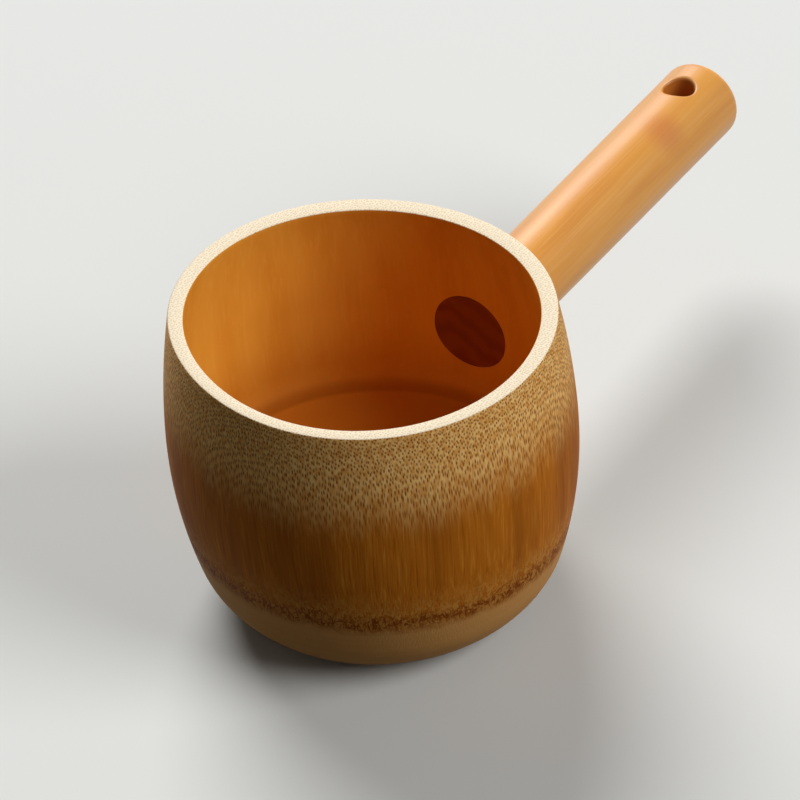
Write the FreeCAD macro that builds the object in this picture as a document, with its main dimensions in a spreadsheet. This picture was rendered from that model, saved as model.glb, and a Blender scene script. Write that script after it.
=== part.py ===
import FreeCAD, Part
import math
import os

import Sketcher

# Water ladle: a cup turned from one length of bamboo culm, and a straight turned handle
# glued into a hole that is drilled through the cup's wall.
# The origin is the middle of the foot, on the ground. +Z is up, +X points out along the handle.

# Driving sizes, in millimetres
SIZES = {
    # cup, outside
    "cup_height": 82.5,  # ground to the flat cut rim
    "belly_radius": 50.0,  # at the widest place
    "belly_height": 50.0,  # of the widest place
    "rim_draw": 2.8,  # how far the side draws in from the belly up to the rim
    "side_draw": 5.1,  # how far it draws in down to where the curve of the foot takes over
    "side_start": 15.0,  # height of that place
    "foot_radius": 30.0,  # outer edge of the flat foot ring
    # cup, inside
    "rim_width": 4.1,  # of the wall at the rim
    "belly_width": 4.2,  # of the wall at the belly, where the straight bore starts to draw in
    "floor_height": 29.0,  # top of the culm's own node wall, which is the floor
    "floor_cove": 6.0,  # rounding where the wall meets the floor
    # hollow of the next culm section, below the node wall
    "foot_width": 5.0,  # of the flat foot ring round it
    "hollow_depth": 19.0,
    "hollow_taper": 6.0,  # its side leans in at 45 degrees over this height, up to its top
    # broken edges of the cup
    "rim_edge": 0.5,
    "foot_edge": 0.8,
    # handle
    "axis_height": 47.2,  # of the handle's axis above the ground
    "handle_reach": 164.4,  # cup's axis to the handle's tip
    "root_radius": 10.35,  # where it passes through the wall
    "grip_radius": 11.1,  # at the outer end, after a slow swell
    "shoulder_gap": 1.0,  # straight stretch of the handle outside the belly
    "glue_gap": 0.05,  # between the handle and its hole, on each side
    "tip_round": 5.5,  # rounding of the end face's edge
    "hang_radius": 4.0,  # hanging hole
    "hang_setback": 14.4,  # hanging hole's middle to the tip
    "hang_edge": 0.9,  # rounding of the hole's two mouths
}

# places on a piece of a sketch, and the sketch's own level axis, upright axis and origin
START, END, MIDDLE = range(1, 4)
LEVEL, UPRIGHT = range(-1, -3, -1)
ORIGIN = (LEVEL, START)

doc = FreeCAD.newDocument("ladle")


def fill_sheet():
    """The sheet that holds every driving size under its own name."""
    sheet = doc.addObject("Spreadsheet::Sheet", "Sizes")
    for row, (name, value) in enumerate(SIZES.items(), 1):
        sheet.set("A%d" % row, name)
        sheet.set("B%d" % row, str(value))
        sheet.setAlias("B%d" % row, name)
    doc.recompute()
    return sheet


def add_body(label):
    body = doc.addObject("PartDesign::Body", label)
    body.Label = label
    return body


def add_sketch(body, name, role):
    """An empty sketch on one of the body's own planes."""
    sketch = body.newObject("Sketcher::SketchObject", name)
    plane = next(item for item in body.Origin.OriginFeatures if item.Role == role)
    sketch.AttachmentSupport = [(plane, "")]
    sketch.MapMode = "FlatFace"
    return sketch


def point(across, up):
    return FreeCAD.Vector(across, up, 0)


def add_line(sketch, start, end):
    return sketch.addGeometry(Part.LineSegment(point(*start), point(*end)))


def add_arc(sketch, middle, start, end):
    """An arc that runs anticlockwise from start to end around middle."""
    spokes = [point(*place) - point(*middle) for place in (start, end)]
    turns = [math.atan2(spoke.y, spoke.x) for spoke in spokes]
    circle = Part.Circle(point(*middle), FreeCAD.Vector(0, 0, 1), spokes[0].Length)
    return sketch.addGeometry(Part.ArcOfCircle(circle, *turns))


def fix(sketch, kind, *where):
    return sketch.addConstraint(Sketcher.Constraint(kind, *where))


def bind(sketch, kind, *where, name, to):
    """A sized constraint, tied to the sheet through its own name."""
    value = sketch.evalExpression(to)
    index = sketch.addConstraint(Sketcher.Constraint(kind, *where, value))
    sketch.renameConstraint(index, name)
    sketch.setExpression("Constraints." + name, to)


def join(sketch, first, second):
    """The end of one edge meets the start of the next."""
    fix(sketch, "Coincident", first, END, second, START)


def spin(body, kind, name, sketch, axis):
    """A full turn of a sketch, which adds (Revolution) or removes (Groove)."""
    turned = body.newObject("PartDesign::" + kind, name)
    turned.Profile = sketch
    turned.ReferenceAxis = (sketch, [axis])
    turned.Angle = 360
    doc.recompute()
    return turned


def dress_edges(body, kind, name, chosen):
    """Breaks the chosen edges of the body's tip, by a Chamfer or a Fillet."""
    base = body.Tip
    edges = ["Edge%d" % i for i, edge in enumerate(base.Shape.Edges, 1) if chosen(edge)]
    assert len(edges) > 1, name + " misses an edge"
    dressed = body.newObject("PartDesign::" + kind, name)
    dressed.Base = (base, edges)
    size = "Radius" if kind == "Fillet" else "Size"
    dressed.setExpression(size, "Sizes." + name)
    doc.recompute()
    return dressed


def is_ring(edge, height, radii):
    """Is this edge a circle round the cup's axis, at this height and one of these radii?"""
    places = edge.discretize(5)
    level = all(abs(place.z - height) < 1e-4 for place in places)
    sizes = {round(math.hypot(place.x, place.y), 3) for place in places}
    return level and len(sizes) == 1 and sizes <= {round(radius, 3) for radius in radii}


# The barrelled side is a loft through level rings. A ring halfway between the belly and an end
# of the side has drawn in by a quarter as much as the end, so the side is a parabola in section.
RING_HEIGHTS = (
    "Sizes.side_start",
    "(Sizes.side_start + Sizes.belly_height) / 2",
    "Sizes.belly_height",
    "(Sizes.belly_height + Sizes.cup_height) / 2",
    "Sizes.cup_height",
)
RING_RADII = (
    "Sizes.belly_radius - Sizes.side_draw",
    "Sizes.belly_radius - Sizes.side_draw / 4",
    "Sizes.belly_radius",
    "Sizes.belly_radius - Sizes.rim_draw / 4",
    "Sizes.belly_radius - Sizes.rim_draw",
)
BORE = "Sizes.belly_radius - Sizes.belly_width"
MOUTH = RING_RADII[-1] + " - Sizes.rim_width"
HOLLOW = "Sizes.foot_radius - Sizes.foot_width"


def add_ring(body, name, height, radius):
    """One level ring of the barrelled side."""
    ring = add_sketch(body, name, "XY_Plane")
    ring.setExpression("AttachmentOffset.Base.z", height)
    size = ring.evalExpression(radius)
    circle = ring.addGeometry(Part.Circle(point(0, 0), FreeCAD.Vector(0, 0, 1), size))
    fix(ring, "Coincident", circle, MIDDLE, *ORIGIN)
    bind(ring, "Radius", circle, name="radius", to=radius)
    return ring


def draw_foot(sketch):
    """Half section of the turned foot, whose curve runs on into the barrelled side."""
    foot, top = SIZES["foot_radius"], SIZES["side_start"]
    edge = SIZES["belly_radius"] - SIZES["side_draw"]
    # level with the belly, the side's tangent at its first ring is as far out of it as that is in
    reach = SIZES["belly_radius"] + SIZES["side_draw"]
    tangent = point(reach - edge, SIZES["belly_height"] - top).normalize()
    chord = point(edge - foot, top)
    outward = point(tangent.y, -tangent.x)
    radius = chord.Length**2 / (2 * chord.dot(outward))
    middle = point(edge, top) - outward * radius
    base = add_line(sketch, (0, 0), (foot, 0))
    curve = add_arc(sketch, (middle.x, middle.y), (foot, 0), (edge, top))
    lid = add_line(sketch, (edge, top), (0, top))
    axis = add_line(sketch, (0, top), (0, 0))
    guide = add_line(sketch, (edge, top), (reach, SIZES["belly_height"]))
    sketch.setConstruction(guide, True)
    fix(sketch, "Coincident", base, START, *ORIGIN)
    for first, second in ((base, curve), (curve, lid), (lid, axis), (axis, base)):
        join(sketch, first, second)
    for level in (base, lid):
        fix(sketch, "Horizontal", level)
    bind(sketch, "DistanceX", base, START, base, END, name="foot", to="Sizes.foot_radius")
    bind(sketch, "DistanceX", *ORIGIN, lid, START, name="edge", to=RING_RADII[0])
    bind(sketch, "DistanceY", *ORIGIN, lid, START, name="top", to="Sizes.side_start")
    fix(sketch, "PointOnObject", axis, START, UPRIGHT)
    tangent_end = "Sizes.belly_radius + Sizes.side_draw"
    bind(sketch, "DistanceX", *ORIGIN, guide, END, name="tangent_out", to=tangent_end)
    bind(sketch, "DistanceY", *ORIGIN, guide, END, name="tangent_up", to="Sizes.belly_height")
    fix(sketch, "Tangent", curve, END, guide, START)


def draw_bore(sketch, low, drop, cove):
    """Half section of the room inside the wall, from a low level up to the rim."""
    heights = (low, "Sizes.belly_height - " + drop, "Sizes.cup_height - " + drop)
    floor, belly, top = (sketch.evalExpression(height) for height in heights)
    radius, mouth = (sketch.evalExpression(size) for size in (BORE, MOUTH))
    round_size = SIZES["floor_cove"] if cove else 0
    base = add_line(sketch, (0, floor), (radius - round_size, floor))
    side = add_line(sketch, (radius, floor + round_size), (radius, belly))
    neck = add_line(sketch, (radius, belly), (mouth, top))
    lid = add_line(sketch, (mouth, top), (0, top))
    axis = add_line(sketch, (0, top), (0, floor))
    if cove:
        middle = (radius - round_size, floor + round_size)
        corner = add_arc(sketch, middle, (middle[0], floor), (radius, middle[1]))
        fix(sketch, "Tangent", base, END, corner, START)
        fix(sketch, "Tangent", corner, END, side, START)
        bind(sketch, "Radius", corner, name="cove", to="Sizes.floor_cove")
    else:
        join(sketch, base, side)
    for first, second in ((side, neck), (neck, lid), (lid, axis), (axis, base)):
        join(sketch, first, second)
    for level in (base, lid):
        fix(sketch, "Horizontal", level)
    fix(sketch, "Vertical", side)
    fix(sketch, "Vertical", axis)
    fix(sketch, "PointOnObject", base, START, UPRIGHT)
    bind(sketch, "DistanceX", *ORIGIN, side, END, name="bore", to=BORE)
    bind(sketch, "DistanceX", *ORIGIN, neck, END, name="mouth", to=MOUTH)
    bind(sketch, "DistanceY", *ORIGIN, base, START, name="floor", to=heights[0])
    bind(sketch, "DistanceY", *ORIGIN, side, END, name="belly", to=heights[1])
    bind(sketch, "DistanceY", *ORIGIN, neck, END, name="top", to=heights[2])


def draw_hollow(sketch):
    """Half section of the culm's own hollow below the node wall, which leans in to its top."""
    radius = sketch.evalExpression(HOLLOW)
    depth, taper = SIZES["hollow_depth"], SIZES["hollow_taper"]
    base = add_line(sketch, (0, 0), (radius, 0))
    side = add_line(sketch, (radius, 0), (radius, depth - taper))
    lean = add_line(sketch, (radius, depth - taper), (radius - taper, depth))
    top = add_line(sketch, (radius - taper, depth), (0, depth))
    axis = add_line(sketch, (0, depth), (0, 0))
    fix(sketch, "Coincident", base, START, *ORIGIN)
    for first, second in ((base, side), (side, lean), (lean, top), (top, axis), (axis, base)):
        join(sketch, first, second)
    for level in (base, top):
        fix(sketch, "Horizontal", level)
    for upright in (side, axis):
        fix(sketch, "Vertical", upright)
    bind(sketch, "DistanceX", base, START, base, END, name="radius", to=HOLLOW)
    bind(sketch, "DistanceY", axis, END, axis, START, name="depth", to="Sizes.hollow_depth")
    bind(sketch, "DistanceX", lean, END, lean, START, name="taper_in", to="Sizes.hollow_taper")
    bind(sketch, "DistanceY", lean, START, lean, END, name="taper_up", to="Sizes.hollow_taper")


def add_round_hole(body, name, role, place, radius, length, both_ways):
    """A straight round hole; place gives the across and up expressions of its middle."""
    sketch = add_sketch(body, name + "_sketch", role)
    start = [sketch.evalExpression(text) if text else 0 for text in place]
    size = sketch.evalExpression(radius)
    ring = sketch.addGeometry(Part.Circle(point(*start), FreeCAD.Vector(0, 0, 1), size))
    bind(sketch, "Radius", ring, name="radius", to=radius)
    for kind, axis, text in (("DistanceX", UPRIGHT, place[0]), ("DistanceY", LEVEL, place[1])):
        if text:
            bind(sketch, kind, *ORIGIN, ring, MIDDLE, name=kind.lower(), to=text)
        else:
            fix(sketch, "PointOnObject", ring, MIDDLE, axis)
    doc.recompute()
    before = body.Shape.Volume
    hole = body.newObject("PartDesign::Pocket", name)
    hole.Profile = sketch
    hole.SideType = "Symmetric" if both_ways else "One side"
    hole.Reversed = not both_ways
    hole.setExpression("Length", length)
    doc.recompute()
    assert hole.Shape.Volume < before - 1, name + " removes nothing"
    return hole


def make_cup():
    body = add_body("bamboo_cup")
    foot = add_sketch(body, "foot", "XZ_Plane")
    draw_foot(foot)
    spin(body, "Revolution", "turned_foot", foot, "V_Axis")

    rings = []
    for index, (height, radius) in enumerate(zip(RING_HEIGHTS, RING_RADII), 1):
        rings.append(add_ring(body, "ring_%d" % index, height, radius))
    side = body.newObject("PartDesign::AdditiveLoft", "barrelled_side")
    side.Profile = rings[0]
    side.Sections = rings[1:]
    doc.recompute()

    inside = add_sketch(body, "inside", "XZ_Plane")
    draw_bore(inside, "Sizes.floor_height", "0", True)
    spin(body, "Groove", "turned_inside", inside, "V_Axis")

    hollow = add_sketch(body, "hollow", "XZ_Plane")
    draw_hollow(hollow)
    spin(body, "Groove", "culm_hollow", hollow, "V_Axis")

    # the rim and the foot ring are cut flat and their edges are broken
    top = SIZES["cup_height"]
    rim = [inside.evalExpression(radius) for radius in (RING_RADII[-1], MOUTH)]
    foot_ring = [SIZES["foot_radius"], inside.evalExpression(HOLLOW)]
    dress_edges(body, "Chamfer", "rim_edge", lambda edge: is_ring(edge, top, rim))
    dress_edges(body, "Chamfer", "foot_edge", lambda edge: is_ring(edge, 0, foot_ring))

    # the handle's hole goes through the +X side of the wall only
    place = (None, "Sizes.axis_height")
    size = "Sizes.root_radius + Sizes.glue_gap"
    reach = "Sizes.belly_radius + Sizes.shoulder_gap"
    add_round_hole(body, "handle_hole", "YZ_Plane", place, size, reach, False)
    return body


def draw_handle(sketch):
    """Half section of the turned handle, from the cup's axis to the rounded tip."""
    root, grip = SIZES["root_radius"], SIZES["grip_radius"]
    reach, rounding = SIZES["handle_reach"], SIZES["tip_round"]
    neck = SIZES["belly_radius"] + SIZES["shoulder_gap"]
    # middle of the rounding, which touches the slow swell and the flat end
    lean = math.atan2(grip - root, reach - neck)
    middle = (reach - rounding, grip - rounding / math.cos(lean) - rounding * math.tan(lean))
    touch = (middle[0] - rounding * math.sin(lean), middle[1] + rounding * math.cos(lean))
    axis = add_line(sketch, (reach, 0), (0, 0))
    back = add_line(sketch, (0, 0), (0, root))
    tenon = add_line(sketch, (0, root), (neck, root))
    swell = add_line(sketch, (neck, root), touch)
    end_face = add_line(sketch, (reach, middle[1]), (reach, 0))
    # the rounding is drawn from the flat end back to the swell, which is its anticlockwise way
    tip = add_arc(sketch, middle, (reach, middle[1]), touch)
    corner = sketch.addGeometry(Part.Point(point(reach, grip)), True)
    fix(sketch, "Coincident", axis, END, *ORIGIN)
    for first, second in ((axis, back), (back, tenon), (tenon, swell), (end_face, axis)):
        join(sketch, first, second)
    fix(sketch, "Tangent", swell, END, tip, END)
    fix(sketch, "Tangent", tip, START, end_face, START)
    for level in (axis, tenon):
        fix(sketch, "Horizontal", level)
    for upright in (back, end_face):
        fix(sketch, "Vertical", upright)
    # the swell would reach the grip's radius at the tip, if its edge weren't rounded
    fix(sketch, "PointOnObject", corner, START, swell)
    fix(sketch, "PointOnObject", corner, START, end_face)
    straight = "Sizes.belly_radius + Sizes.shoulder_gap"
    bind(sketch, "DistanceY", back, START, back, END, name="root", to="Sizes.root_radius")
    bind(sketch, "DistanceX", tenon, START, tenon, END, name="straight", to=straight)
    bind(sketch, "DistanceX", *ORIGIN, axis, START, name="reach", to="Sizes.handle_reach")
    bind(sketch, "DistanceY", *ORIGIN, corner, START, name="grip", to="Sizes.grip_radius")
    bind(sketch, "Radius", tip, name="tip_round", to="Sizes.tip_round")


def make_handle():
    body = add_body("handle")
    body.setExpression("Placement.Base.z", "Sizes.axis_height")
    profile = add_sketch(body, "profile", "XZ_Plane")
    draw_handle(profile)
    spin(body, "Revolution", "turned_rod", profile, "H_Axis")

    # the inner end is cut flush with the cup's bore
    trim = add_sketch(body, "trim", "XZ_Plane")
    draw_bore(trim, "-2 * Sizes.root_radius", "Sizes.axis_height", False)
    spin(body, "Groove", "flush_end", trim, "V_Axis")

    place = ("Sizes.handle_reach - Sizes.hang_setback", None)
    through = "4 * Sizes.grip_radius"
    add_round_hole(body, "hanging_hole", "XY_Plane", place, "Sizes.hang_radius", through, True)
    dress_edges(body, "Fillet", "hang_edge", is_mouth)
    return body


def is_mouth(edge):
    """Is this edge part of one of the two mouths of the hanging hole?"""
    middle = SIZES["handle_reach"] - SIZES["hang_setback"]
    places = edge.discretize(5)
    reaches = [math.hypot(place.x - middle, place.y) for place in places]
    round_hole = all(abs(reach - SIZES["hang_radius"]) < 1e-3 for reach in reaches)
    return round_hole and edge.BoundBox.YLength > SIZES["hang_radius"] / 2


def check(bodies):
    for item in doc.Objects:
        bad = {"Invalid", "Error"} & set(item.State)
        assert not bad, "%s is %s" % (item.Label, bad)
    for body in bodies:
        shape = body.Shape
        assert not shape.isNull() and shape.isValid(), body.Label
        assert len(shape.Solids) == 1, body.Label


def export(bodies):
    os.makedirs("parts", exist_ok=True)
    for body in bodies:
        body.Shape.exportStep("parts/%s.step" % body.Label)
        print("%s %.0f mm3" % (body.Label, body.Shape.Volume))


fill_sheet()
pieces = [make_cup(), make_handle()]
doc.recompute()
check(pieces)
export(pieces)
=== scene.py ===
import math

import bmesh
import bpy
from mathutils import Matrix, Vector


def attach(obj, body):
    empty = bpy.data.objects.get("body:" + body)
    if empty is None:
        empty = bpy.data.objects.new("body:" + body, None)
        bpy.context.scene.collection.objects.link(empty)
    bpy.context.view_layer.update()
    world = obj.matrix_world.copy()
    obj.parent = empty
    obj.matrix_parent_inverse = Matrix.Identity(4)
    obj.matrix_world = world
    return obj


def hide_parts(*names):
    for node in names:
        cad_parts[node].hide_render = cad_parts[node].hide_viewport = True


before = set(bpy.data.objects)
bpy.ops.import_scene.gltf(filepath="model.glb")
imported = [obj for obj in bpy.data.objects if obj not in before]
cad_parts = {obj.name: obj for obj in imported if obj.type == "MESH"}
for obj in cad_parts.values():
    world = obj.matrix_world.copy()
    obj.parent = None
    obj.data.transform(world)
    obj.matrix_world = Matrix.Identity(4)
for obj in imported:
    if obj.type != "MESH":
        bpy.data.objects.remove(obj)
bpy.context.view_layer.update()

# Water ladle: a cup cut from bamboo culm, and a turned beech handle through its wall.
# Blender works in metres. Sizes below are in millimetres, +Z up and +X out along the handle.

mm = 0.001
near = 0.01  # points nearer each other than this are one
slack = 0.1  # a point this far off a face still counts as on it


# Helpers for meshes

def addObject(name, mesh):
    piece = bpy.data.objects.new(name, mesh)
    bpy.context.scene.collection.objects.link(piece)
    return piece


# even steps from one value to another, without the first
def evenly(start, end, count):
    return [start + (end - start) * i / count for i in range(1, count + 1)]


# points on an arc between two angles in degrees, without the first
def arc(middle, radius, start, end, count):
    angles = [math.radians(angle) for angle in evenly(start, end, count)]
    return [(middle[0] + radius * math.cos(a), middle[1] + radius * math.sin(a)) for a in angles]


# a full turn of a half section, whose points are a distance from the axis and a place along it
def spinProfile(profile, steps, axis):
    bm = bmesh.new()
    if axis == "Z":
        turn, places = (0, 0, 1), [(out * mm, 0, along * mm) for out, along in profile]
    else:
        turn, places = (1, 0, 0), [(along * mm, 0, out * mm) for out, along in profile]
    verts = [bm.verts.new(place) for place in places]
    edges = [bm.edges.new(pair) for pair in zip(verts, verts[1:])]
    bmesh.ops.spin(bm, geom=verts + edges, cent=(0, 0, 0), axis=turn,
                   angle=2 * math.pi, steps=steps, use_merge=True)
    bmesh.ops.remove_doubles(bm, verts=bm.verts, dist=near * mm)
    bmesh.ops.recalc_face_normals(bm, faces=bm.faces)
    return bm


# rounds the rings of edges at one height of the cup that have one of these radii
def bevelRings(bm, height, radii, width, segments):
    def onRing(edge, radius):
        return all(abs(vert.co.z - height * mm) < near * mm
                   and abs(vert.co.xy.length - radius * mm) < near * mm for vert in edge.verts)

    edges = [edge for edge in bm.edges if any(onRing(edge, radius) for radius in radii)]
    bmesh.ops.bevel(bm, geom=edges, offset=width * mm, offset_type="OFFSET", segments=segments,
                    profile=0.5, affect="EDGES", material=-1)


def toMesh(bm, name):
    mesh = bpy.data.meshes.new(name)
    bm.to_mesh(mesh)
    bm.free()
    return mesh


# cuts the cutter's shape out of the piece for good
def carve(piece, cutter):
    cut = piece.modifiers.new("cut", "BOOLEAN")
    cut.object = cutter
    cut.solver = "EXACT"
    graph = bpy.context.evaluated_depsgraph_get()
    carved = bpy.data.meshes.new_from_object(piece.evaluated_get(graph))
    piece.modifiers.clear()
    piece.data = carved
    bpy.data.objects.remove(cutter)


# smooth shading, with edges sharper than the angle left crisp
def smooth(piece, angle):
    piece.data.shade_smooth()
    piece.data.set_sharp_from_angle(angle=math.radians(angle))


# The cup

cup = {
    "height": 82.5,
    "bellyRadius": 50.0,
    "bellyHeight": 50.0,
    "rimDraw": 2.8,  # how far the side draws in from the belly up to the rim
    "sideDraw": 5.1,  # and from the belly down to the foot's curve
    "sideStart": 15.0,
    "footRadius": 30.0,
    "footWidth": 5.0,
    "rimWidth": 4.1,  # of the wall at the rim
    "bellyWidth": 3.2,  # and at the belly
    "floorHeight": 29.0,
    "floorCove": 6.0,
    "hollowDepth": 19.0,
    "hollowTaper": 6.0,
    "rimEdge": 0.35,
    "footEdge": 0.9,
    "ovalRim": (-1.27, 1.40),  # how far the culm is from round, as a wave twice round the rim
    "ovalFoot": (-1.47, -1.03),  # and round the foot
    "corners": -0.45,  # and as a wave three times round
    "lean": (-0.51, 0.70),  # how far the foot stands off from straight below the rim
    "boreShift": (-0.74, -0.29),  # how far the bore is off centre at the rim
    "drillReach": (35.0, 60.0),  # how far out the drill for the handle's hole starts and ends
    "insideOver": 0.12,  # how far the inside's finish runs over the rim's inner edge
    "hollowStart": 0.3,  # how far up the hollow's own finish starts
    "steps": 288,
    "floorRings": 5,
    "boreRings": 30,
    "sideRings": 36,
    "footRings": 20,
    "coveSegments": 10,
    "rimSegments": 3,
    "footSegments": 4,
    "hollowSegments": 5,
    "crispAngle": 32.0,  # edges sharper than this stay crisp
}


# the barrelled side, a parabola above and another below the belly
def sideRadius(height):
    rise = height - cup["bellyHeight"]
    if rise > 0:
        share = rise / (cup["height"] - cup["bellyHeight"])
        return cup["bellyRadius"] - cup["rimDraw"] * share ** 2
    share = rise / (cup["bellyHeight"] - cup["sideStart"])
    return cup["bellyRadius"] - cup["sideDraw"] * share ** 2


# the bore follows the side, with a wall that is thinnest at the belly
def boreRadius(height):
    share = (height - cup["bellyHeight"]) / (cup["height"] - cup["bellyHeight"])
    width = cup["bellyWidth"] + (cup["rimWidth"] - cup["bellyWidth"]) * abs(share)
    return sideRadius(height) - width


# the middle and the radius of the foot's curve, and its angle where it runs on into the side
def footArc():
    edge = sideRadius(cup["sideStart"])
    lean = math.atan2(2 * cup["sideDraw"], cup["bellyHeight"] - cup["sideStart"])
    outward = Vector((math.cos(lean), -math.sin(lean)))
    chord = Vector((edge - cup["footRadius"], cup["sideStart"]))
    radius = chord.length_squared / (2 * chord.dot(outward))
    middle = Vector((edge, cup["sideStart"])) - outward * radius
    return middle, radius, -math.degrees(lean)


# how much wider than round the culm is, as a factor
def oval(angle, height):
    depth = 1 - height / cup["height"]
    cosine, sine = [rim + (foot - rim) * depth
                    for rim, foot in zip(cup["ovalRim"], cup["ovalFoot"])]
    extra = (cosine * math.cos(2 * angle) + sine * math.sin(2 * angle)
             + cup["corners"] * math.sin(3 * angle))
    return 1 + extra / cup["bellyRadius"]


# how far the culm's middle is off the cup's axis, and the bore's middle off that
def offAxis(height):
    outside = Vector(cup["lean"]) * (1 - height / cup["height"])
    rise = max(0.0, height - cup["bellyHeight"]) / (cup["height"] - cup["bellyHeight"])
    return outside, Vector(cup["boreShift"]) * rise


# how far out along +X the bore's wall is, at a place across and up
def boreWall(across, height):
    outside, inside = offAxis(height)
    shift = outside + inside
    radius = boreRadius(height)
    out = radius
    for step in range(6):  # each step comes closer to the oval's own width there
        wide = radius * oval(math.atan2(across - shift.y, out), height)
        out = math.sqrt(wide ** 2 - (across - shift.y) ** 2)
    return out + shift.x


def makeCup():
    floor, top = cup["floorHeight"], cup["height"]
    hollow = cup["footRadius"] - cup["footWidth"]
    depth, taper = cup["hollowDepth"], cup["hollowTaper"]
    middle, radius, sideAngle = footArc()
    footAngle = math.degrees(math.atan2(-middle.y, cup["footRadius"] - middle.x))
    low = boreRadius(floor)

    # half section: out over the floor, up the bore, down the side and in under the foot
    profile = [(0, floor)] + [(out, floor) for out in evenly(0, low, cup["floorRings"])]
    profile += [(boreRadius(height), height) for height in evenly(floor, top, cup["boreRings"])
                if height > floor + cup["floorCove"]]
    profile += [(sideRadius(top), top)]
    profile += [(sideRadius(height), height)
                for height in evenly(top, cup["sideStart"], cup["sideRings"])]
    profile += arc(middle, radius, sideAngle, footAngle, cup["footRings"])
    profile += [(hollow, 0), (hollow, depth - taper), (hollow - taper, depth)]
    profile += [((hollow - taper) / 2, depth), (0, depth)]
    bm = spinProfile(profile, cup["steps"], "Z")
    bevelRings(bm, floor, [low], cup["floorCove"], cup["coveSegments"])
    bevelRings(bm, top, [boreRadius(top), sideRadius(top)], cup["rimEdge"], cup["rimSegments"])
    bevelRings(bm, 0, [cup["footRadius"], hollow], cup["footEdge"], cup["footSegments"])
    bevelRings(bm, depth - taper, [hollow], taper / 2, cup["hollowSegments"])
    bevelRings(bm, depth, [hollow - taper], taper / 2, cup["hollowSegments"])

    # the culm is a little oval and leans a little, and its bore is a little off centre
    for vert in bm.verts:
        out, height = vert.co.xy.length / mm, vert.co.z / mm
        outside, inside = offAxis(height)
        side, bore = sideRadius(height), boreRadius(height)
        share = 0.0
        if height > floor - slack:
            share = min(1.0, max(0.0, (side - out) / (side - bore)))
        if out > 0:
            vert.co.xy *= oval(math.atan2(vert.co.y, vert.co.x), height)
        vert.co.xy += (outside + inside * share) * mm
    piece = addObject("bamboo_cup_look", toMesh(bm, "bamboo_cup_look"))

    # the hole for the handle, drilled from outside
    wide = handle["rootRadius"] + handle["glueGap"]
    start, end = cup["drillReach"]
    drill = spinProfile([(0, start), (wide, start), (wide, end), (0, end)], handle["steps"], "X")
    bmesh.ops.translate(drill, verts=drill.verts, vec=(0, 0, handle["axisHeight"] * mm))
    carve(piece, addObject("drill", toMesh(drill, "drill")))
    smooth(piece, cup["crispAngle"])
    return piece


# gives the cup's faces their three finishes by where they are
def paintCup(piece, outside, inside, hollow):
    for material in (outside, inside, hollow):
        piece.data.materials.append(material)
    floor, foot = cup["floorHeight"], cup["footRadius"] - cup["footWidth"]
    for face in piece.data.polygons:
        height = face.center.z / mm
        place = face.center.xy / mm - sum(offAxis(height), Vector((0, 0)))
        out = place.length / oval(math.atan2(place.y, place.x), height)
        if height > floor - slack and out < boreRadius(max(height, floor)) + cup["insideOver"]:
            face.material_index = 1
        elif cup["hollowStart"] < height < cup["hollowDepth"] + slack and out < foot + slack:
            face.material_index = 2
        else:
            face.material_index = 0


# The handle

handle = {
    "axisHeight": 47.2,
    "reach": 164.7,
    "rootRadius": 10.35,
    "gripRadius": 11.15,
    "glueGap": 0.05,
    "swellStart": 51.0,
    "swellPower": 0.8,  # 1 gives a straight taper, and less a quicker start
    "tipDepth": 4.8,  # how far back the domed end starts
    "tipFullness": 2.25,  # 2 gives half an ellipse, and more a flatter end with a rounder edge
    "hangRadius": 4.0,
    "hangPlace": 150.0,
    "hangEdge": 1.0,
    "wearPull": (-0.82, 0.57),  # which way the hole's upper mouth is drawn out, along X and Y
    "wearSize": 0.12,  # by what share of its radius
    "wearDepth": 2.5,  # how far below the surface the wear starts
    "wearRise": 2.0,  # and over what height it grows to the full
    "endStart": 40.0,  # where the rod's end is before it is trimmed to the bore
    "wallRing": 47.0,  # a ring of the rod that lies inside the cup's wall
    "steps": 160,
    "endRings": 8,
    "swellRings": 140,
    "tipRings": 24,
    "hangSteps": 96,
    "hangEdgeRings": 8,
    "crispAngle": 40.0,
}


# a slow, easy swell from the cup to the tip
def handleRadius(along):
    start, root = handle["swellStart"], handle["rootRadius"]
    share = max(0.0, (along - start) / (handle["reach"] - start))
    return root + (handle["gripRadius"] - root) * share ** handle["swellPower"]


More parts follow.
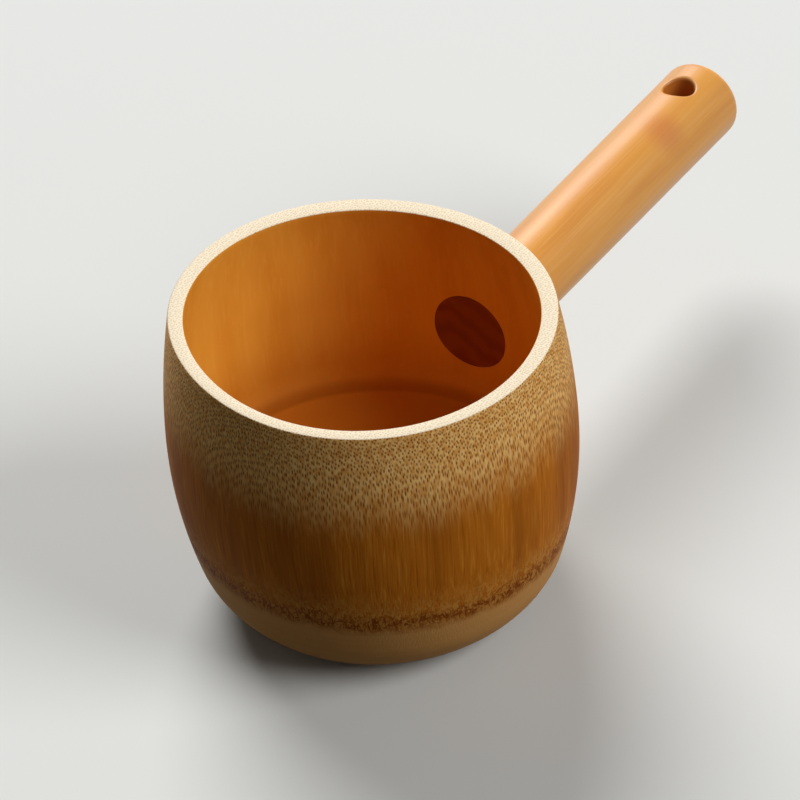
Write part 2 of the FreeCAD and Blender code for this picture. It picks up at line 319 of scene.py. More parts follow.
# a round hole with rounded mouths that follow the handle's surface
def hangCutter():
    edge, radius = handle["hangEdge"], handle["hangRadius"]
    half, depth = handle["gripRadius"], handle["wearDepth"]
    surface = handleRadius(handle["hangPlace"])
    # half section of the upper mouth, as distance from the hole's axis and height over the
    # surface: up the wall with a ring on each side of where the wear starts, round the edge, and
    # steeply up, clear of the wood, so that the cut leaves no thin lip
    flare = [(radius, -depth - 0.7), (radius, -depth + 0.3), (radius, -edge)]
    flare += arc((radius + edge, -edge), edge, 180, 100, handle["hangEdgeRings"])
    flare += [(radius + edge * 1.15, 0.35), (radius + edge * 1.2, 3.0)]
    upper = [(out, half + over) for out, over in flare]
    lower = [(out, -along) for out, along in reversed(upper)]
    profile = [(0, lower[0][1])] + lower + [(radius, 0)] + upper + [(0, upper[-1][1])]
    bm = spinProfile(profile, handle["hangSteps"], "Z")
    # half a step round, so that none of its points meets the handle's own
    bmesh.ops.rotate(bm, verts=bm.verts, cent=(0, 0, 0),
                     matrix=Matrix.Rotation(math.pi / handle["hangSteps"], 3, "Z"))
    pull = Vector(handle["wearPull"]).normalized()
    for vert in bm.verts:
        over = abs(vert.co.z) / mm - half
        if over < -depth:
            continue
        if vert.co.xy.length > 0 and vert.co.z > 0:
            # the upper mouth is drawn out to one side
            facing = max(0.0, vert.co.xy.normalized().dot(pull))
            grown = min(1.0, (over + depth) / handle["wearRise"])
            vert.co.xy *= 1 + handle["wearSize"] * facing ** 4 * grown
        # both mouths follow the round of the handle
        level = math.sqrt(max(1.0, surface ** 2 - (vert.co.y / mm) ** 2))
        vert.co.z = math.copysign((level + over) * mm, vert.co.z)
    bmesh.ops.translate(bm, verts=bm.verts,
                        vec=(handle["hangPlace"] * mm, 0, handle["axisHeight"] * mm))
    return addObject("hangCutter", toMesh(bm, "hangCutter"))


def makeHandle():
    root, reach = handle["rootRadius"], handle["reach"]
    inner, neck = handle["endStart"], handle["swellStart"]
    depth = handle["tipDepth"]
    shoulder = reach - depth
    end = handleRadius(shoulder)
    power = 2 / handle["tipFullness"]

    # half section: out over the inner end, along the swell and in over the domed tip
    profile = [(0, inner)] + [(out, inner) for out in evenly(0, root, handle["endRings"])]
    profile += [(root, handle["wallRing"]), (root, neck)]
    profile += [(handleRadius(place), place)
                for place in evenly(neck, shoulder, handle["swellRings"])]
    turns = [math.radians(turn) for turn in evenly(0, 90, handle["tipRings"])[:-1]]
    profile += [(end * math.cos(turn) ** power, shoulder + depth * math.sin(turn) ** power)
                for turn in turns]
    profile += [(0, reach)]
    bm = spinProfile(profile, handle["steps"], "X")
    for vert in bm.verts:
        if vert.co.x < (inner + slack) * mm:
            # the inner end is flush with the bore
            height = vert.co.z / mm + handle["axisHeight"]
            vert.co.x = boreWall(vert.co.y / mm, height) * mm
    bmesh.ops.translate(bm, verts=bm.verts, vec=(0, 0, handle["axisHeight"] * mm))
    piece = addObject("handle_look", toMesh(bm, "handle_look"))
    carve(piece, hangCutter())
    smooth(piece, handle["crispAngle"])
    return piece


# Materials

# sRGB hex to the linear colour that a socket takes
def hexColour(code):
    parts = [int(code[i:i + 2], 16) / 255 for i in (0, 2, 4)]
    linear = [c / 12.92 if c <= 0.04045 else ((c + 0.055) / 1.055) ** 2.4 for c in parts]
    return (*linear, 1.0)


# adds a node with its settings; an input that is another node's output is linked, any other is set
def addNode(tree, kind, settings, inputs):
    node = tree.nodes.new("ShaderNode" + kind)
    for name, value in settings.items():
        setattr(node, name, value)
    for name, value in inputs.items():
        if isinstance(value, bpy.types.NodeSocket):
            tree.links.new(value, node.inputs[name])
        else:
            node.inputs[name].default_value = value
    return node.outputs


# an empty wood material, its shader, and the place on the piece in millimetres
def newMaterial(name, look):
    material = bpy.data.materials.new(name)
    material.use_nodes = True
    tree = material.node_tree
    shader = tree.nodes["Principled BSDF"]
    shader.inputs["Roughness"].default_value = look["roughness"]
    shader.inputs["IOR"].default_value = look["ior"]
    shader.inputs["Specular IOR Level"].default_value = look["gloss"]
    shader.inputs["Coat Weight"].default_value = look["coat"]
    shader.inputs["Coat Roughness"].default_value = look["coatRoughness"]
    place = addNode(tree, "TexCoord", {}, {})["Object"]
    scaled = addNode(tree, "Mapping", {}, {"Vector": place, "Scale": (1 / mm, 1 / mm, 1 / mm)})[0]
    return material, tree, shader, scaled


softStep = {"interpolation_type": "SMOOTHSTEP"}  # a Map Range from 0 to 1 with eased ends
mixColour = {"data_type": "RGBA"}  # its factor is input 0, its colours 6 and 7, its result output 2
# Below, a value such as {"From Min": 0.4, "From Max": 0.7, "To Max": 0.6} says between which
# levels of a noise, which lies round 0.5, a colour comes in, and how strong it gets.

# Moso bamboo with its skin turned off, sanded and lightly oiled. Its dark fibre bundles run up the
# culm in a pale ground, so the eye sees dots on the flat rim, dashes below it, and fine streaks at
# the belly, where the cut lies along them and reaches an orange-brown layer. The node's scar is a
# fuzzy dark ring over a plain foot.
turnedBamboo = {
    "roughness": 0.5,
    "ior": 1.45,
    "gloss": 0.03,  # 0.5 is a bare smooth surface, and open pores take that down
    "coat": 0.0,
    "coatRoughness": 0.35,
    "bundleSpacing": 0.6,  # millimetres, as are all sizes here
    "bundleWidth": 0.34,
    "bundleBlur": 0.2,
    "bundleJitter": 0.6,  # 0 sets them in rows and 1 strews them
    "bundleStrength": {"To Min": 0.6, "To Max": 1.0},
    "wanderSize": 30.0,
    "wanderReach": 2.4,
    "flareHeight": 14.0,  # the bundles lean outwards over this height below the rim
    "flareReach": 8.0,
    "streakWidth": 0.7,
    "streakLength": 16.0,
    "patchWidth": 9.0,
    "patchLength": 70.0,
    "mottleSize": 5.0,
    "paleStreaks": {"From Min": 0.35, "From Max": 0.65},
    "lightStreaks": {"From Min": 0.5, "From Max": 0.78, "To Max": 0.7},
    "darkPatches": {"From Min": 0.4, "From Max": 0.68, "To Max": 0.6},
    "darkStreaks": {"From Min": 0.46, "From Max": 0.24, "To Max": 0.6},
    "paleHeight": 62.0,  # the pale wood melts into the orange layer round this height
    "paleBlend": 20.0,
    "paleRagged": 9.0,
    "scarHeight": 23.6,
    "scarTilt": -2.4,  # how much higher the scar is on the +X side than in the middle
    "scarWidth": 4.8,
    "fuzzReach": 12.48,  # how far above the scar its pale fuzz runs
    "tuftWidth": 1.0,
    "tuftLength": 1.8,
    "tuftTangle": 1.2,
    "tuftFuzz": {"From Min": 0.38, "From Max": 0.66, "To Max": 0.75},
    "tuftClumps": {"From Min": 0.6, "From Max": 0.4, "To Min": 0.2, "To Max": 0.9},
    "lineHeight": 0.6,  # of the faint turning lines on the foot
    "footLines": {"From Min": 0.4, "From Max": 0.75, "To Max": 0.6},
    "rimFacing": {"From Min": 0.55, "From Max": 0.85},  # how far a face looks up to count as rim
    "bumpStrength": 0.35,
    "bumpDepth": 0.06,
    "rimGround": "FCECD0",
    "rimBundle": "DEC9A6",
    "paleGround": "DE9E50",
    "paleLight": "F6C67C",
    "paleBundle": "864812",
    "orangeGround": "B86A18",
    "orangeLight": "D28A30",
    "orangeDark": "8E4A0A",
    "footGround": "CC9454",
    "footDark": "C48C4E",
    "scarDark": "743208",
    "scarLight": "CE9448",
}


def makeTurnedBamboo():
    look = turnedBamboo
    material, tree, shader, place = newMaterial("turned moso bamboo", look)
    axes = addNode(tree, "SeparateXYZ", {}, {"Vector": place})
    height = axes["Z"]

    # the fibre bundles are columns that wander a little and lean outwards towards the rim
    wander = addNode(tree, "TexNoise", {}, {
        "Vector": place, "Scale": 1 / look["wanderSize"], "Detail": 1.0})["Color"]
    reach = (look["wanderReach"], look["wanderReach"], 0)
    wandering = addNode(tree, "VectorMath", {"operation": "MULTIPLY_ADD"}, {
        0: wander, 1: reach, 2: place})[0]
    rise = addNode(tree, "Math", {"operation": "MULTIPLY_ADD"}, {
        0: height, 1: 1 / look["flareHeight"], 2: -cup["height"] / look["flareHeight"]})[0]
    flare = addNode(tree, "Math", {"operation": "EXPONENT"}, {0: rise})[0]
    squeeze = addNode(tree, "Math", {"operation": "MULTIPLY_ADD"}, {
        0: flare, 1: -look["flareReach"] / cup["bellyRadius"], 2: 1.0})[0]
    columns = addNode(tree, "VectorMath", {"operation": "SCALE"}, {
        0: wandering, "Scale": squeeze})[0]
    cells = addNode(tree, "TexVoronoi", {"voronoi_dimensions": "2D"}, {
        "Vector": columns, "Scale": 1 / look["bundleSpacing"], "Randomness": look["bundleJitter"]})
    half, blur = [look[name] / 2 / look["bundleSpacing"] for name in ("bundleWidth", "bundleBlur")]
    dot = addNode(tree, "MapRange", softStep, {
        "Value": cells["Distance"], "From Min": half + blur, "From Max": half - blur})[0]
    own = addNode(tree, "SeparateXYZ", {}, {"Vector": cells["Color"]})["X"]
    strength = addNode(tree, "MapRange", {}, {"Value": own, **look["bundleStrength"]})[0]
    bundle = addNode(tree, "Math", {"operation": "MULTIPLY"}, {0: dot, 1: strength})[0]

    # upright streaks and patches, and a mottle as coarse as it needs to show
    streakScale = (1 / look["streakWidth"], 1 / look["streakWidth"], 1 / look["streakLength"])
    streakPlace = addNode(tree, "Mapping", {}, {"Vector": columns, "Scale": streakScale})[0]
    streak = addNode(tree, "TexNoise", {}, {"Vector": streakPlace, "Scale": 1.0, "Detail": 2.0})[0]
    patchScale = (1 / look["patchWidth"], 1 / look["patchWidth"], 1 / look["patchLength"])
    patchPlace = addNode(tree, "Mapping", {}, {"Vector": wandering, "Scale": patchScale})[0]
    patch = addNode(tree, "TexNoise", {}, {"Vector": patchPlace, "Scale": 1.0, "Detail": 2.0})[0]
    mottle = addNode(tree, "TexNoise", {}, {
        "Vector": place, "Scale": 1 / look["mottleSize"], "Detail": 3.0})[0]

    # the pale upper side with its dashes
    paleShare = addNode(tree, "MapRange", softStep, {"Value": streak, **look["paleStreaks"]})[0]
    paleGround = addNode(tree, "Mix", mixColour, {
        0: paleShare, 6: hexColour(look["paleGround"]), 7: hexColour(look["paleLight"])})[2]
    pale = addNode(tree, "Mix", mixColour, {
        0: bundle, 6: paleGround, 7: hexColour(look["paleBundle"])})[2]

    # the orange layer with its streaks
    lightShare = addNode(tree, "MapRange", softStep, {"Value": streak, **look["lightStreaks"]})[0]
    darkShare = addNode(tree, "MapRange", softStep, {"Value": patch, **look["darkPatches"]})[0]
    thinShare = addNode(tree, "MapRange", softStep, {"Value": streak, **look["darkStreaks"]})[0]
    orange = addNode(tree, "Mix", mixColour, {
        0: lightShare, 6: hexColour(look["orangeGround"]), 7: hexColour(look["orangeLight"])})[2]
    orange = addNode(tree, "Mix", mixColour, {
        0: darkShare, 6: orange, 7: hexColour(look["orangeDark"])})[2]
    orange = addNode(tree, "Mix", mixColour, {
        0: thinShare, 6: orange, 7: hexColour(look["orangeDark"])})[2]
    uneven = addNode(tree, "Math", {"operation": "MULTIPLY_ADD"}, {
        0: patch, 1: look["paleRagged"], 2: height})[0]
    paleStart = look["paleHeight"] + look["paleRagged"] / 2 - look["paleBlend"] / 2
    upper = addNode(tree, "MapRange", softStep, {
        "Value": uneven, "From Min": paleStart, "From Max": paleStart + look["paleBlend"]})[0]
    side = addNode(tree, "Mix", mixColour, {0: upper, 6: orange, 7: pale})[2]

    # the node's scar, made of tangled tufts: first the pale fuzz over it
    tuftScale = (1 / look["tuftWidth"], 1 / look["tuftWidth"], 1 / look["tuftLength"])
    tuftPlace = addNode(tree, "Mapping", {}, {"Vector": place, "Scale": tuftScale})[0]
    tuft = addNode(tree, "TexNoise", {}, {
        "Vector": tuftPlace, "Scale": 1.0, "Detail": 3.0, "Roughness": 0.6,
        "Distortion": look["tuftTangle"]})[0]
    tilted = addNode(tree, "Math", {"operation": "MULTIPLY_ADD"}, {
        0: axes["X"], 1: -look["scarTilt"] / cup["bellyRadius"], 2: height})[0]
    # together the two noises lift it by three quarters of the scar's width, give or take
    ragged = addNode(tree, "Math", {"operation": "MULTIPLY_ADD"}, {
        0: tuft, 1: look["scarWidth"] / 2, 2: tilted})[0]
    ragged = addNode(tree, "Math", {"operation": "MULTIPLY_ADD"}, {
        0: mottle, 1: look["scarWidth"], 2: ragged})[0]
    over = addNode(tree, "Math", {"operation": "SUBTRACT"}, {
        0: ragged, 1: look["scarHeight"] + look["scarWidth"] * 0.75})[0]
    fuzz = addNode(tree, "MapRange", softStep, {
        "Value": over, "From Min": look["fuzzReach"], "From Max": look["scarWidth"] / 2})[0]
    fuzzShare = addNode(tree, "MapRange", softStep, {"Value": tuft, **look["tuftFuzz"]})[0]
    fuzz = addNode(tree, "Math", {"operation": "MULTIPLY"}, {0: fuzz, 1: fuzzShare})[0]
    side = addNode(tree, "Mix", mixColour, {0: fuzz, 6: side, 7: hexColour(look["scarLight"])})[2]

    # the plain foot below the scar, with its turning lines
    lineScale = (1 / look["patchLength"], 1 / look["patchLength"], 1 / look["lineHeight"])
    linePlace = addNode(tree, "Mapping", {}, {"Vector": place, "Scale": lineScale})[0]
    lines = addNode(tree, "TexNoise", {}, {"Vector": linePlace, "Scale": 1.0, "Detail": 1.0})[0]
    lineShare = addNode(tree, "MapRange", softStep, {"Value": lines, **look["footLines"]})[0]
    foot = addNode(tree, "Mix", mixColour, {
        0: lineShare, 6: hexColour(look["footGround"]), 7: hexColour(look["footDark"])})[2]
    below = addNode(tree, "MapRange", softStep, {
        "Value": over, "From Min": 0.0, "From Max": -look["scarWidth"]})[0]
    side = addNode(tree, "Mix", mixColour, {0: below, 6: side, 7: foot})[2]

    # the dark band of the scar itself
    away = addNode(tree, "Math", {"operation": "ABSOLUTE"}, {0: over})[0]
    band = addNode(tree, "MapRange", softStep, {
        "Value": away, "From Min": look["scarWidth"], "From Max": 0.0})[0]
    clump = addNode(tree, "MapRange", softStep, {"Value": tuft, **look["tuftClumps"]})[0]
    band = addNode(tree, "Math", {"operation": "MULTIPLY"}, {0: band, 1: clump})[0]
    side = addNode(tree, "Mix", mixColour, {0: band, 6: side, 7: hexColour(look["scarDark"])})[2]

    # the flat cut rim
    normal = addNode(tree, "NewGeometry", {}, {})["Normal"]
    upward = addNode(tree, "SeparateXYZ", {}, {"Vector": normal})["Z"]
    flat = addNode(tree, "MapRange", softStep, {"Value": upward, **look["rimFacing"]})[0]
    rim = addNode(tree, "Mix", mixColour, {
        0: bundle, 6: hexColour(look["rimGround"]), 7: hexColour(look["rimBundle"])})[2]
    colour = addNode(tree, "Mix", mixColour, {0: flat, 6: side, 7: rim})[2]
    tree.links.new(colour, shader.inputs["Base Color"])

    # the bundles stand a hair below the ground wood
    relief = addNode(tree, "Math", {"operation": "SUBTRACT"}, {0: streak, 1: bundle})[0]
    bump = addNode(tree, "Bump", {}, {
        "Height": relief, "Strength": look["bumpStrength"], "Distance": look["bumpDepth"] * mm})
    tree.links.new(bump["Normal"], shader.inputs["Normal"])
    return material


# Bamboo inside the cup, bored smooth and soaked with oil: a deep, warm orange-brown with only the
# faintest upright streaks, and a soft satin gloss.
oiledBamboo = {
    "roughness": 0.5,
    "ior": 1.45,
    "gloss": 0.04,
    "coat": 0.0,
    "coatRoughness": 0.35,
    "streakWidth": 0.8,
    "streakLength": 30.0,
    "patchWidth": 9.0,
    "patchLength": 60.0,
    "darkPatches": {"From Min": 0.35, "From Max": 0.7, "To Max": 0.7},
    "paleStreaks": {"From Min": 0.45, "From Max": 0.8, "To Max": 0.35},
    "bumpStrength": 0.15,
    "bumpDepth": 0.05,
    "ground": "E8A53C",
    "dark": "DE952E",
    "pale": "F0B450",
    "lowPaintedShade": "C67A24",  # painted shade, darker low in the cup
    "lowReach": 20.0,
    "cornerPaintedShade": "AA641C",  # painted shade, a thin ring where the wall meets the floor
    "cornerHeight": 2.6,
    "cornerShare": 0.7,
}


def makeOiledBamboo():
    look = oiledBamboo
    material, tree, shader, place = newMaterial("oiled bamboo bore", look)
    streakScale = (1 / look["streakWidth"], 1 / look["streakWidth"], 1 / look["streakLength"])
    streakPlace = addNode(tree, "Mapping", {}, {"Vector": place, "Scale": streakScale})[0]
    streak = addNode(tree, "TexNoise", {}, {"Vector": streakPlace, "Scale": 1.0, "Detail": 2.0})[0]
    patchScale = (1 / look["patchWidth"], 1 / look["patchWidth"], 1 / look["patchLength"])
    patchPlace = addNode(tree, "Mapping", {}, {"Vector": place, "Scale": patchScale})[0]
    patch = addNode(tree, "TexNoise", {}, {"Vector": patchPlace, "Scale": 1.0, "Detail": 2.0})[0]
    darkShare = addNode(tree, "MapRange", softStep, {"Value": patch, **look["darkPatches"]})[0]
    paleShare = addNode(tree, "MapRange", softStep, {"Value": streak, **look["paleStreaks"]})[0]
    colour = addNode(tree, "Mix", mixColour, {
        0: darkShare, 6: hexColour(look["ground"]), 7: hexColour(look["dark"])})[2]
    colour = addNode(tree, "Mix", mixColour, {
        0: paleShare, 6: colour, 7: hexColour(look["pale"])})[2]

    # painted shade: darker towards the floor, and darkest in the corner round it, but not on the
    # floor itself
    height = addNode(tree, "SeparateXYZ", {}, {"Vector": place})["Z"]
    rise = addNode(tree, "Math", {"operation": "SUBTRACT"}, {0: height, 1: cup["floorHeight"]})[0]
    low = addNode(tree, "MapRange", softStep, {
        "Value": rise, "From Min": look["lowReach"], "From Max": -look["lowReach"] / 2})[0]
    colour = addNode(tree, "Mix", mixColour, {0: low, 6: colour, 7: hexColour(look["lowPaintedShade"])})[2]
    corner = addNode(tree, "MapRange", softStep, {
        "Value": rise, "From Min": look["cornerHeight"], "From Max": look["cornerHeight"] / 4})[0]
    raised = addNode(tree, "MapRange", softStep, {
        "Value": rise, "From Min": 0.02, "From Max": look["cornerHeight"] / 8,
        "To Max": look["cornerShare"]})[0]
    corner = addNode(tree, "Math", {"operation": "MULTIPLY"}, {0: corner, 1: raised})[0]
    colour = addNode(tree, "Mix", mixColour, {
        0: corner, 6: colour, 7: hexColour(look["cornerPaintedShade"])})[2]
    tree.links.new(colour, shader.inputs["Base Color"])
    bump = addNode(tree, "Bump", {}, {
        "Height": streak, "Strength": look["bumpStrength"], "Distance": look["bumpDepth"] * mm})
    tree.links.new(bump["Normal"], shader.inputs["Normal"])
    return material


# The culm's own hollow under the foot, left as it grew: dry, matt and pale brown, in soft patches.
culmHollow = {
    "roughness": 0.75,
    "ior": 1.45,
    "gloss": 0.1,
    "coat": 0.0,
    "coatRoughness": 0.3,
    "patchWidth": 4.0,
    "patchLength": 14.0,
    "darkPatches": {"From Min": 0.35, "From Max": 0.7},
    "bumpStrength": 0.4,
    "bumpDepth": 0.3,
    "ground": "C9A877",
    "dark": "AE8850",
}


def makeCulmHollow():
    look = culmHollow
    material, tree, shader, place = newMaterial("natural culm hollow", look)
    patchScale = (1 / look["patchWidth"], 1 / look["patchWidth"], 1 / look["patchLength"])
    patchPlace = addNode(tree, "Mapping", {}, {"Vector": place, "Scale": patchScale})[0]
    patch = addNode(tree, "TexNoise", {}, {
        "Vector": patchPlace, "Scale": 1.0, "Detail": 4.0, "Roughness": 0.6})[0]
    share = addNode(tree, "MapRange", softStep, {"Value": patch, **look["darkPatches"]})[0]
    colour = addNode(tree, "Mix", mixColour, {
        0: share, 6: hexColour(look["ground"]), 7: hexColour(look["dark"])})[2]
    tree.links.new(colour, shader.inputs["Base Color"])
    bump = addNode(tree, "Bump", {}, {
        "Height": patch, "Strength": look["bumpStrength"], "Distance": look["bumpDepth"] * mm})
    tree.links.new(bump["Normal"], shader.inputs["Normal"])
    return material


# Beech, turned, sanded very smooth and oiled: even honey brown with soft long figure, a warmer
# knot near the tip, and end grain that drinks the oil and turns dark red-brown.
oiledBeech = {
    "roughness": 0.5,
    "ior": 1.45,
    "gloss": 0.15,
    "coat": 0.9,
    "coatRoughness": 0.38,
    "figureWidth": 5.0,
    "figureLength": 60.0,
    "fibreWidth": 0.7,
    "fibreLength": 24.0,
    "darkFigure": {"From Min": 0.4, "From Max": 0.72, "To Max": 0.6},
    "paleFibres": {"From Min": 0.4, "From Max": 0.8, "To Max": 0.35},
    "bumpStrength": 0.1,
    "bumpDepth": 0.05,
    "ringWidth": 6.0,  # of the growth rings, seen in the end grain inside the cup
    "ringMiddle": (0.0, 14.0, 10.0),
    "ringShare": 0.6,
    "wobbleSize": 9.0,
    "wobbleReach": 9.6,
    "endDepth": 47.0,  # the end grain lies nearer the cup's axis than this
    "endBlend": 0.4,
    "endFacing": {"From Min": -0.4, "From Max": -0.7},  # and looks this far back along -X
    "knotPlace": (132.0, -6.0, 56.5),
    "knotFade": {"From Min": 9.0, "From Max": 1.0, "To Max": 0.5},  # from its edge to its middle
    "holeFade": 0.8,  # how far the painted shade and darker cut grain reach out of the hanging hole
    "ground": "E29A38",
    "dark": "D2842C",
    "pale": "ECB060",
    "pink": "C86830",
    "endGrain": "7A2A08",
    "endRing": "92400E",
    # painted shade in the hanging hole, over its darker cut grain
    "holeShadeAndGrain": "BC7228",
}


def makeOiledBeech():
    look = oiledBeech
    material, tree, shader, place = newMaterial("oiled beech", look)

    # long soft figure and short fine fibres
    figureScale = (1 / look["figureLength"], 1 / look["figureWidth"], 1 / look["figureWidth"])
    figurePlace = addNode(tree, "Mapping", {}, {"Vector": place, "Scale": figureScale})[0]
    figure = addNode(tree, "TexNoise", {}, {"Vector": figurePlace, "Scale": 1.0, "Detail": 2.0})[0]
    fibreScale = (1 / look["fibreLength"], 1 / look["fibreWidth"], 1 / look["fibreWidth"])
    fibrePlace = addNode(tree, "Mapping", {}, {"Vector": place, "Scale": fibreScale})[0]
    fibre = addNode(tree, "TexNoise", {}, {"Vector": fibrePlace, "Scale": 1.0, "Detail": 2.0})[0]
    darkShare = addNode(tree, "MapRange", softStep, {"Value": figure, **look["darkFigure"]})[0]
    paleShare = addNode(tree, "MapRange", softStep, {"Value": fibre, **look["paleFibres"]})[0]
    colour = addNode(tree, "Mix", mixColour, {
        0: darkShare, 6: hexColour(look["ground"]), 7: hexColour(look["dark"])})[2]
    colour = addNode(tree, "Mix", mixColour, {
        0: paleShare, 6: colour, 7: hexColour(look["pale"])})[2]

    # the small knot
    fromKnot = addNode(tree, "VectorMath", {"operation": "DISTANCE"}, {
        0: place, 1: look["knotPlace"]})["Value"]
    knot = addNode(tree, "MapRange", softStep, {"Value": fromKnot, **look["knotFade"]})[0]
    colour = addNode(tree, "Mix", mixColour, {0: knot, 6: colour, 7: hexColour(look["pink"])})[2]

    # the hanging hole cuts across the fibres and its wall drinks the oil, and painted shade darkens
    # it further, as in a recess
    fromHole = addNode(tree, "VectorMath", {"operation": "MULTIPLY_ADD"}, {
        0: place, 1: (1, 1, 0), 2: (-handle["hangPlace"], 0, 0)})[0]
    holeOut = addNode(tree, "VectorMath", {"operation": "LENGTH"}, {0: fromHole})["Value"]
    holeShare = addNode(tree, "MapRange", softStep, {
        "Value": holeOut, "From Min": handle["hangRadius"] + look["holeFade"],
        "From Max": handle["hangRadius"]})[0]
    colour = addNode(tree, "Mix", mixColour, {
        0: holeShare, 6: colour, 7: hexColour(look["holeShadeAndGrain"])})[2]

    # growth rings across the end grain, round the tree's middle outside the rod
    centred = addNode(tree, "VectorMath", {"operation": "SUBTRACT"}, {
        0: place, 1: look["ringMiddle"]})[0]
    across = addNode(tree, "VectorMath", {"operation": "MULTIPLY"}, {0: centred, 1: (0, 1, 1)})[0]
    distance = addNode(tree, "VectorMath", {"operation": "LENGTH"}, {0: across})["Value"]
    wobble = addNode(tree, "TexNoise", {}, {
        "Vector": place, "Scale": 1 / look["wobbleSize"], "Detail": 2.0})[0]
    turns = addNode(tree, "Math", {"operation": "MULTIPLY_ADD"}, {
        0: wobble, 1: look["wobbleReach"], 2: distance})[0]
    phase = addNode(tree, "Math", {"operation": "MULTIPLY"}, {
        0: turns, 1: 2 * math.pi / look["ringWidth"]})[0]
    wave = addNode(tree, "Math", {"operation": "SINE"}, {0: phase})[0]
    ring = addNode(tree, "MapRange", softStep, {
        "Value": wave, "From Min": -1.0, "To Max": look["ringShare"]})[0]
    grain = addNode(tree, "Mix", mixColour, {
        0: ring, 6: hexColour(look["endGrain"]), 7: hexColour(look["endRing"])})[2]
    along = addNode(tree, "SeparateXYZ", {}, {"Vector": place})["X"]
    inner = addNode(tree, "MapRange", softStep, {
        "Value": along, "From Min": look["endDepth"],
        "From Max": look["endDepth"] - look["endBlend"]})[0]
    normal = addNode(tree, "NewGeometry", {}, {})["Normal"]
    facing = addNode(tree, "SeparateXYZ", {}, {"Vector": normal})["X"]
    flat = addNode(tree, "MapRange", softStep, {"Value": facing, **look["endFacing"]})[0]
    ended = addNode(tree, "Math", {"operation": "MULTIPLY"}, {0: inner, 1: flat})[0]
    colour = addNode(tree, "Mix", mixColour, {0: ended, 6: colour, 7: grain})[2]
    tree.links.new(colour, shader.inputs["Base Color"])
    bump = addNode(tree, "Bump", {}, {
        "Height": fibre, "Strength": look["bumpStrength"], "Distance": look["bumpDepth"] * mm})
    tree.links.new(bump["Normal"], shader.inputs["Normal"])
    return material


# The studio

studio = {
    "floorColour": "E0E1DE",
    "floorBounce": "5C5B58",  # for the light it throws back, so that shaded sides stay deep
    "floorRoughness": 0.9,
    "floorSize": 8000.0,
    "worldColour": "E6E7E4",
    "worldLight": 0.07,
    "lights": {
        "side": {"watts": 106.0, "size": 2500.0, "azimuth": -78.0, "elevation": 36.0,
                 "away": 4000.0},
        "back": {"watts": 194.0, "size": 3000.0, "azimuth": 52.0, "elevation": 42.0,
                 "away": 4500.0},
    },
    "lightAim": (30.0, 0.0, 40.0),
}


# 1 for a ray that shows the studio itself, straight or by gloss or glass, and 0 for one that lights
def seenRays(tree):
    rays = addNode(tree, "LightPath", {}, {})
    seen = addNode(tree, "Math", {"operation": "MAXIMUM"}, {
        0: rays["Is Camera Ray"], 1: rays["Is Glossy Ray"]})[0]
    return addNode(tree, "Math", {"operation": "MAXIMUM"}, {
        0: seen, 1: rays["Is Transmission Ray"]})[0]


def makeFloor():
    bm = bmesh.new()
    bmesh.ops.create_grid(bm, x_segments=1, y_segments=1, size=studio["floorSize"] / 2 * mm)
    floor = addObject("floor", toMesh(bm, "floor"))
    material = bpy.data.materials.new("pale matt floor")
    material.use_nodes = True
    tree = material.node_tree
    shader = tree.nodes["Principled BSDF"]
    colour = addNode(tree, "Mix", mixColour, {
        0: seenRays(tree), 6: hexColour(studio["floorBounce"]),
        7: hexColour(studio["floorColour"])})[2]
    tree.links.new(colour, shader.inputs["Base Color"])
    shader.inputs["Roughness"].default_value = studio["floorRoughness"]
    floor.data.materials.append(material)


def addLamp(name, look):
    light = bpy.data.lights.new(name, "AREA")
    light.energy = look["watts"]
    light.shape = "DISK"
    light.size = look["size"] * mm
    azimuth, elevation = math.radians(look["azimuth"]), math.radians(look["elevation"])
    way = Vector((math.cos(azimuth) * math.cos(elevation),
                  math.sin(azimuth) * math.cos(elevation), math.sin(elevation)))
    lamp = bpy.data.objects.new(name, light)
    bpy.context.scene.collection.objects.link(lamp)
    lamp.location = (Vector(studio["lightAim"]) + way * look["away"]) * mm
    lamp.rotation_euler = way.to_track_quat("Z", "Y").to_euler()


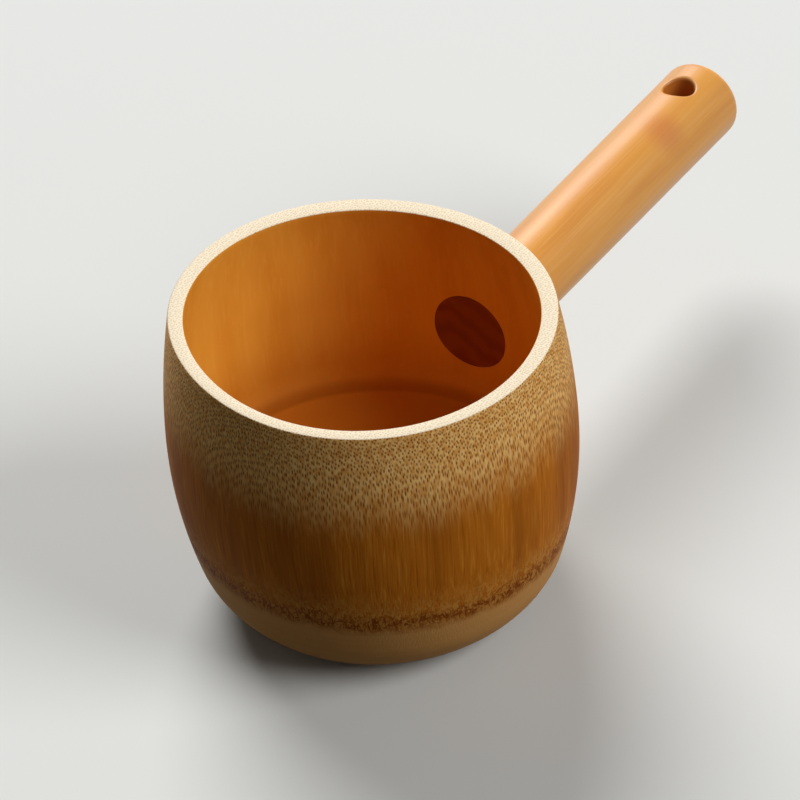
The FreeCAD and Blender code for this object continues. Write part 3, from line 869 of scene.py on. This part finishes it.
# soft light all round, and a pale background for the camera, for gloss and for glass
def makeWorld():
    world = bpy.data.worlds.new("studio")
    bpy.context.scene.world = world
    world.use_nodes = True
    tree = world.node_tree
    back = tree.nodes["Background"]
    back.inputs["Color"].default_value = hexColour(studio["worldColour"])
    strength = addNode(tree, "MapRange", {}, {
        "Value": seenRays(tree), "To Min": studio["worldLight"]})[0]
    tree.links.new(strength, back.inputs["Strength"])


# The camera stands where the photograph was taken from

view = {
    "azimuth": -53.92,
    "elevation": 37.67,
    "roll": -5.203,
    "away": 965.3,
    "aim": (4.185, -5.742, 55.58),
    "lens": 180.0,
    "sensor": 36.0,
    "farClip": 20000.0,
}


def addCamera():
    azimuth, elevation, roll = [math.radians(view[name])
                                for name in ("azimuth", "elevation", "roll")]
    back = Vector((math.sin(azimuth) * math.cos(elevation),
                   -math.cos(azimuth) * math.cos(elevation), math.sin(elevation)))
    right = (-back).cross(Vector((0, 0, 1))).normalized()
    up = back.cross(right)
    rolledRight = math.cos(roll) * right + math.sin(roll) * up
    rolledUp = -math.sin(roll) * right + math.cos(roll) * up
    lens = bpy.data.cameras.new("camera")
    lens.lens = view["lens"]
    lens.sensor_width = view["sensor"]
    lens.sensor_fit = "HORIZONTAL"
    lens.clip_end = view["farClip"] * mm
    camera = bpy.data.objects.new("camera", lens)
    bpy.context.scene.collection.objects.link(camera)
    turn = Matrix((rolledRight, rolledUp, back)).transposed()
    place = (Vector(view["aim"]) + back * view["away"]) * mm
    camera.matrix_world = Matrix.Translation(place) @ turn.to_4x4()
    bpy.context.scene.camera = camera


cupPiece = makeCup()
paintCup(cupPiece, makeTurnedBamboo(), makeOiledBamboo(), makeCulmHollow())
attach(cupPiece, "root")
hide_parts("bamboo_cup")
print("cup made:", len(cupPiece.data.polygons), "faces")

handlePiece = makeHandle()
handlePiece.data.materials.append(makeOiledBeech())
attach(handlePiece, "root")
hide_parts("handle")
print("handle made:", len(handlePiece.data.polygons), "faces")

makeFloor()
makeWorld()
for name, look in studio["lights"].items():
    addLamp(name + " light", look)
addCamera()
bpy.context.scene.view_settings.view_transform = "Standard"
print("studio set")
